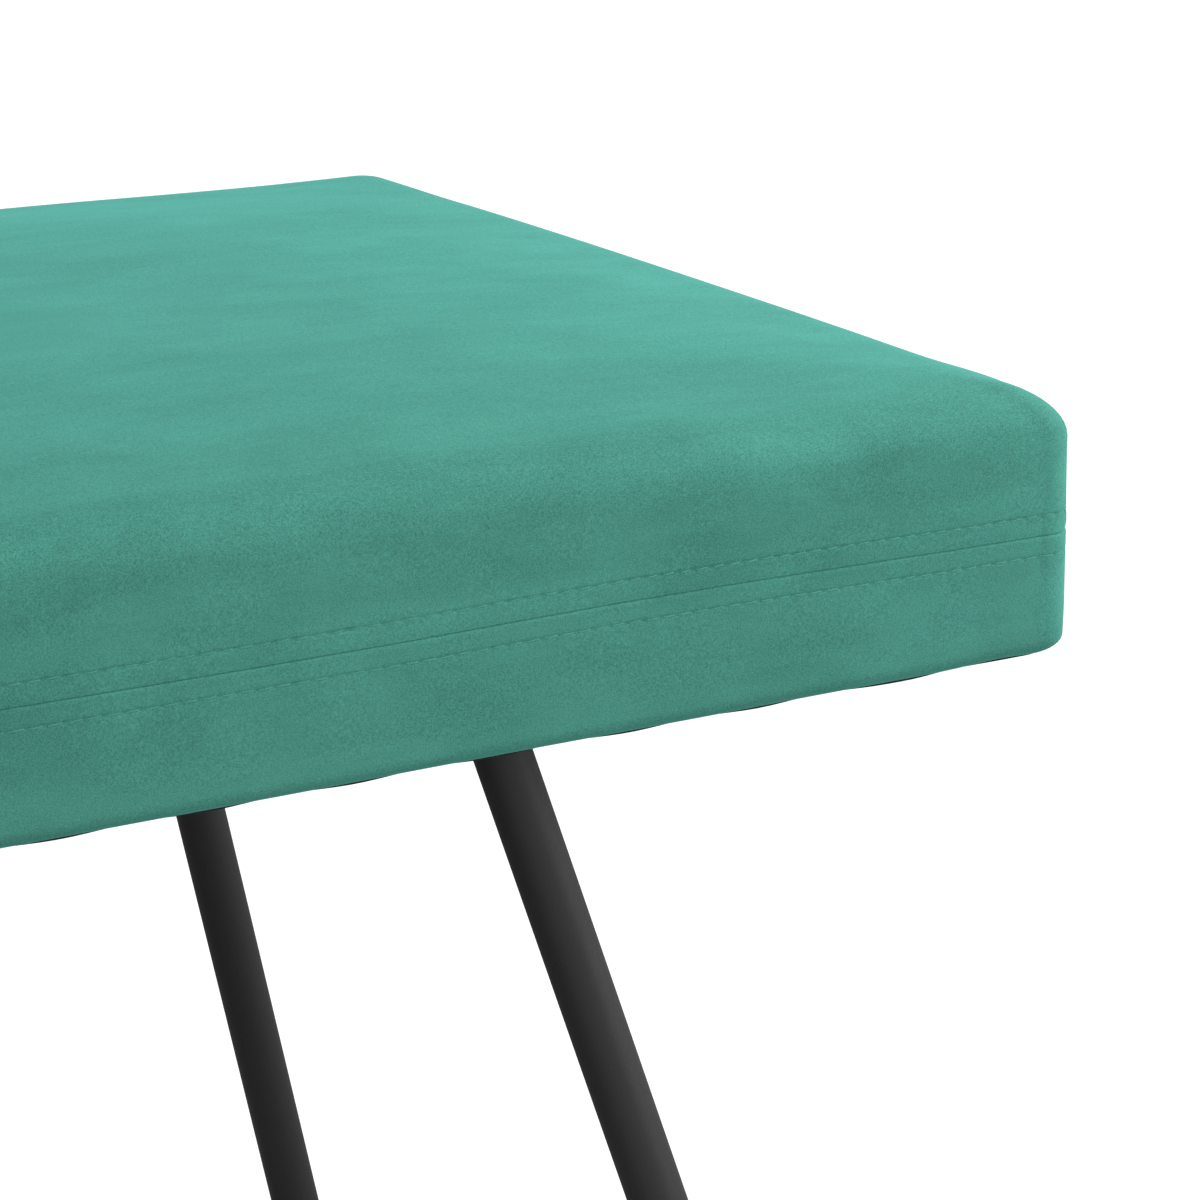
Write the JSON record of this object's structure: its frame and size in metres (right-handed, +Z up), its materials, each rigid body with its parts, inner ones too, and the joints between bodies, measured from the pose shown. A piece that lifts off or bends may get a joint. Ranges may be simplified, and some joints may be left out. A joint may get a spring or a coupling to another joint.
{
  "type": "upholstered bench",
  "caption": "Backless upholstered bench: thick rectangular velvet seat pad with a mid-height seam and twin topstitching, on splayed round black steel legs.",
  "frame": {"origin": "on the floor, under the middle of the bench", "axes": "+X along the length, -Y towards the front (the long side seen in the picture), +Z up"},
  "size_m": [1.1, 0.48, 0.45],
  "materials": {
    "velvet": "matte",
    "thread": "matte",
    "wadding": "matte",
    "foam": "matte",
    "plywood": "matte",
    "pine": "matte",
    "zinc_steel": "satin",
    "staple_wire": "satin",
    "dust_cloth": "matte",
    "black_powder_coat": "matte",
    "black_bolt": "satin",
    "black_plastic": "matte"
  },
  "bodies": {
    "root": {"velvet_top_cover": "velvet", "velvet_side_band": "velvet", "topstitch_upper": "thread", "topstitch_lower": "thread", "wadding_layer": "wadding", "foam_pad": "foam", "seat_board": "plywood", "rail_front": "pine", "rail_rear": "pine", "rail_left": "pine", "rail_right": "pine", "cross_rail_left": "pine", "cross_rail_centre": "pine", "cross_rail_right": "pine", "corner_block_front_left": "pine", "corner_block_front_right": "pine", "corner_block_rear_left": "pine", "corner_block_rear_right": "pine", "rail_screws": "zinc_steel", "board_screws": "zinc_steel", "cover_staples": "staple_wire", "dust_cover": "dust_cloth", "dust_cover_staples": "staple_wire", "leg_plate_front_left": "black_powder_coat", "leg_plate_front_right": "black_powder_coat", "leg_plate_rear_left": "black_powder_coat", "leg_plate_rear_right": "black_powder_coat", "leg_tube_front_left": "black_powder_coat", "leg_tube_front_right": "black_powder_coat", "leg_tube_rear_left": "black_powder_coat", "leg_tube_rear_right": "black_powder_coat", "leg_washers": "black_bolt", "leg_bolts": "black_bolt", "threaded_inserts": "zinc_steel", "foot_cap_front_left": "black_plastic", "foot_cap_front_right": "black_plastic", "foot_cap_rear_left": "black_plastic", "foot_cap_rear_right": "black_plastic"}
  },
  "joints": []
}
